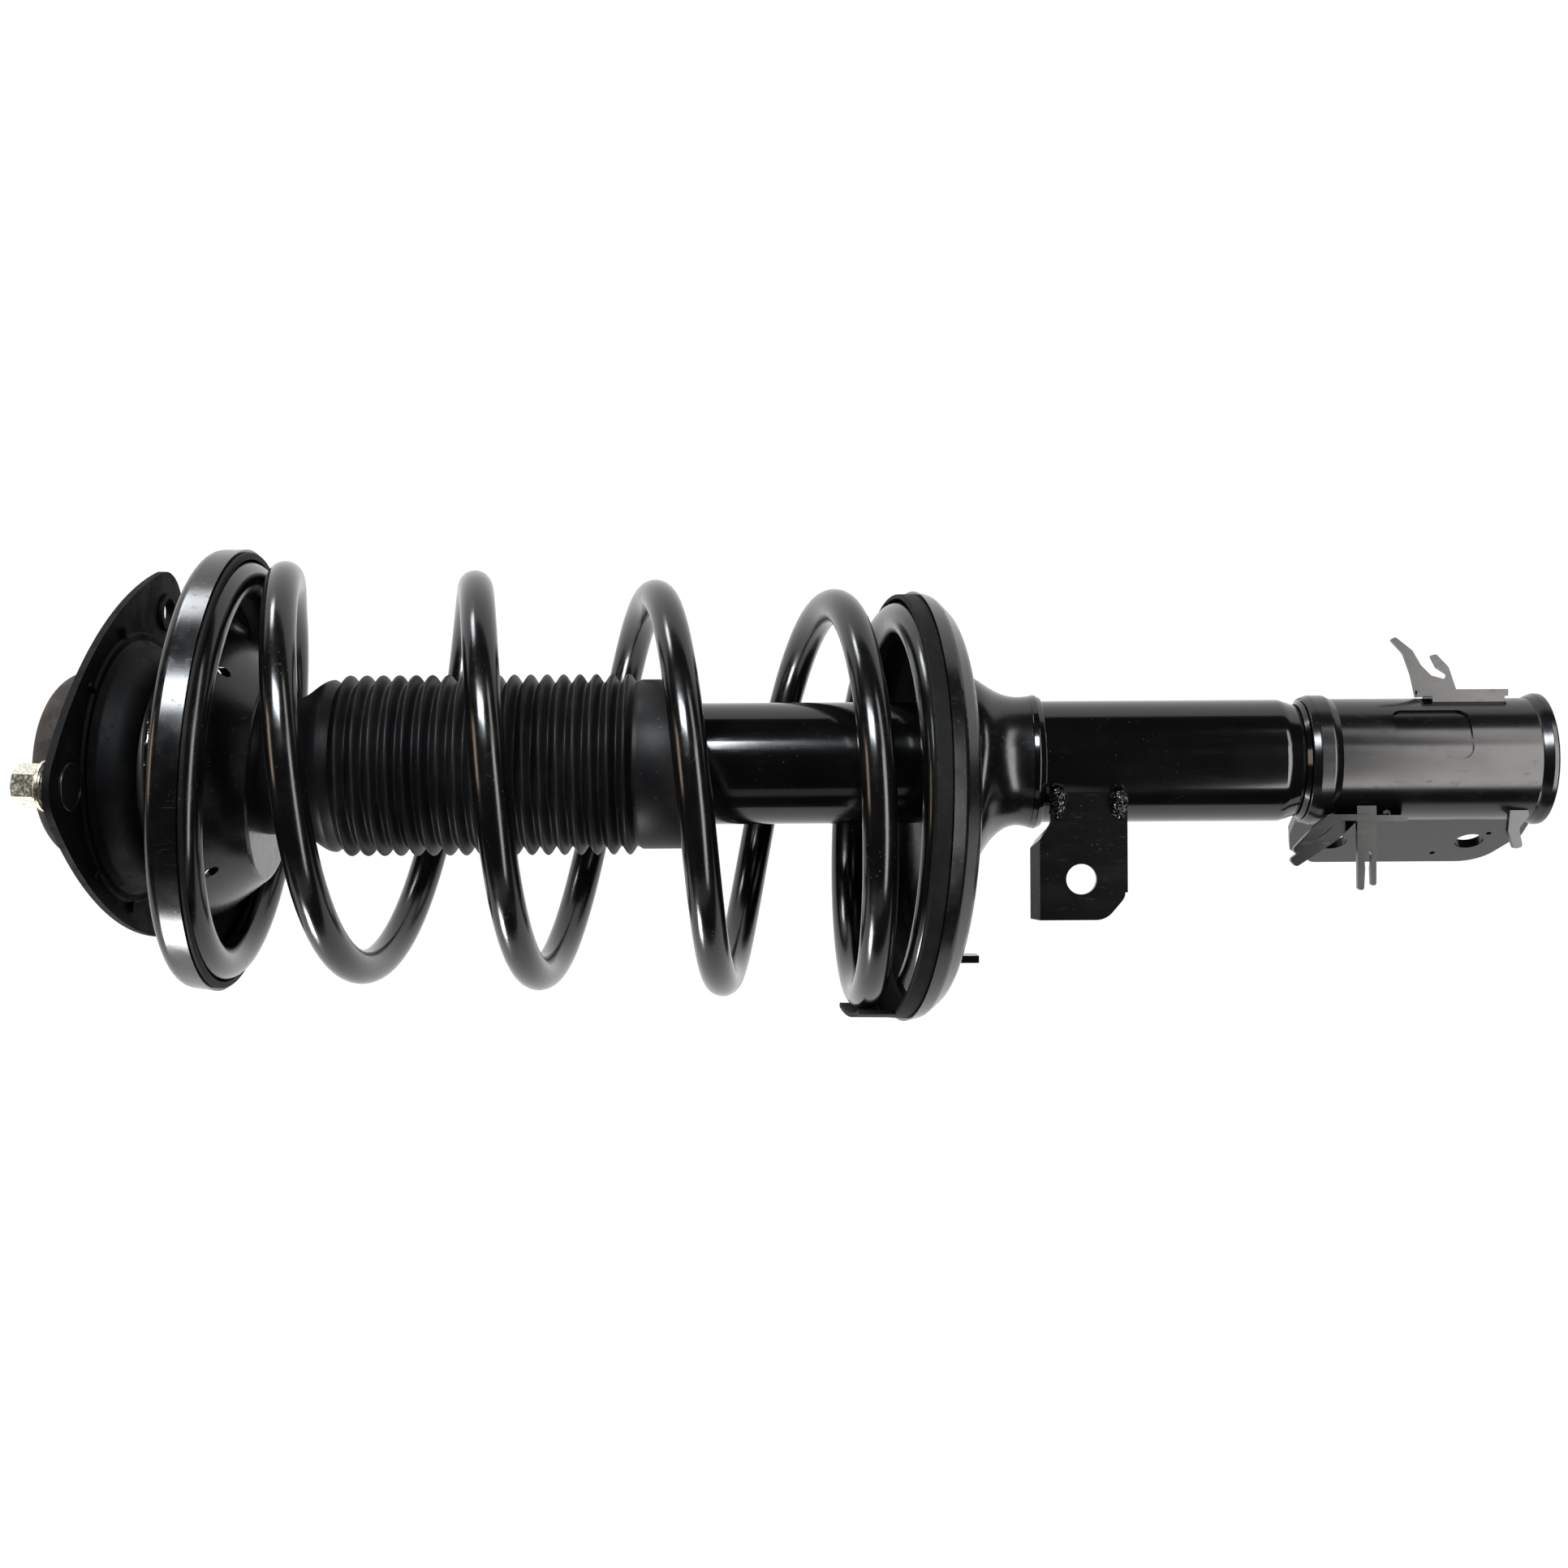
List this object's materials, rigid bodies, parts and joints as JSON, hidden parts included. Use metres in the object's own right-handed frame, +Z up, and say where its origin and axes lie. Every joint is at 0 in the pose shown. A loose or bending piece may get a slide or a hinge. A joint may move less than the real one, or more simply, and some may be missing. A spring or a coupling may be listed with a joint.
{
  "type": "strut assembly",
  "caption": "Front suspension strut with coil spring, tilting top mount, bellows boot, offset lower seat and clamp ears for a steering knuckle.",
  "frame": {"origin": "on the damper axis at the upper face of the top mount's plate", "axes": "+Z up along the damper axis; -Y is the side that carries the plate's stud; the knuckle ears point 120 degrees from +X, towards +Y"},
  "size_m": [0.2016, 0.2088, 0.6229],
  "materials": {
    "plate_paint": "satin black",
    "hat_paint": "matte grey brown",
    "mount_rubber": "matte",
    "zinc": "yellow passivated zinc",
    "damper_steel": "machined",
    "rod_chrome": "polished",
    "band_plastic": "matte",
    "foam": "matte foam",
    "bearing_plastic": "matte",
    "ball_steel": "polished",
    "seat_paint": "gloss black",
    "insulator_rubber": "matte",
    "boot_rubber": "matte",
    "spring_paint": "satin black powder coat",
    "tube_paint": "gloss black",
    "bracket_paint": "semi gloss black"
  },
  "bodies": {
    "top_mount": {"mount_plate": "plate_paint", "mount_hat": "hat_paint", "mount_cup": "plate_paint", "mount_rubber": "mount_rubber", "mount_sleeve": "damper_steel", "rod_washer": "zinc", "rod_nut": "zinc", "stud": "zinc", "stud_collar": "zinc", "stud_nut": "zinc", "piston_rod": "rod_chrome", "piston": "damper_steel", "piston_band": "band_plastic", "rebound_stop": "damper_steel", "bump_cup": "damper_steel", "bump_stop": "foam", "bearing_upper_race": "bearing_plastic"},
    "spring_seat": {"bearing_balls": "ball_steel", "bearing_lower_race": "bearing_plastic", "upper_spring_seat": "seat_paint", "upper_insulator": "insulator_rubber", "dust_boot": "boot_rubber", "coil_spring": "spring_paint"},
    "strut_housing": {"strut_tube": "tube_paint", "tube_cap": "tube_paint", "rod_seal": "insulator_rubber", "rod_guide": "damper_steel", "inner_cylinder": "damper_steel", "base_valve": "damper_steel", "end_cap": "damper_steel", "lower_spring_seat": "seat_paint", "lower_insulator": "insulator_rubber", "seat_tab": "seat_paint", "seat_weld": "tube_paint", "knuckle_bracket": "bracket_paint", "bracket_weld": "tube_paint", "link_bracket": "bracket_paint", "link_weld_upper": "tube_paint", "link_weld_lower": "tube_paint", "hose_bracket": "bracket_paint", "sensor_bracket": "bracket_paint"}
  },
  "joints": [
    {"name": "steer_bearing", "type": "hinge", "parent": "top_mount", "child": "spring_seat", "pos_m": [0, 0, -0.0207], "axis": [0, 0, 1], "range_deg": [-40, 40]},
    {"name": "damper_stroke", "type": "slide", "parent": "spring_seat", "child": "strut_housing", "axis": [0, 0, 1], "range_m": [0, 0.14], "stiffness_N_per_m": 25000, "springref_m": -0.04, "deforming": ["coil_spring", "dust_boot", "bump_stop"]}
  ]
}
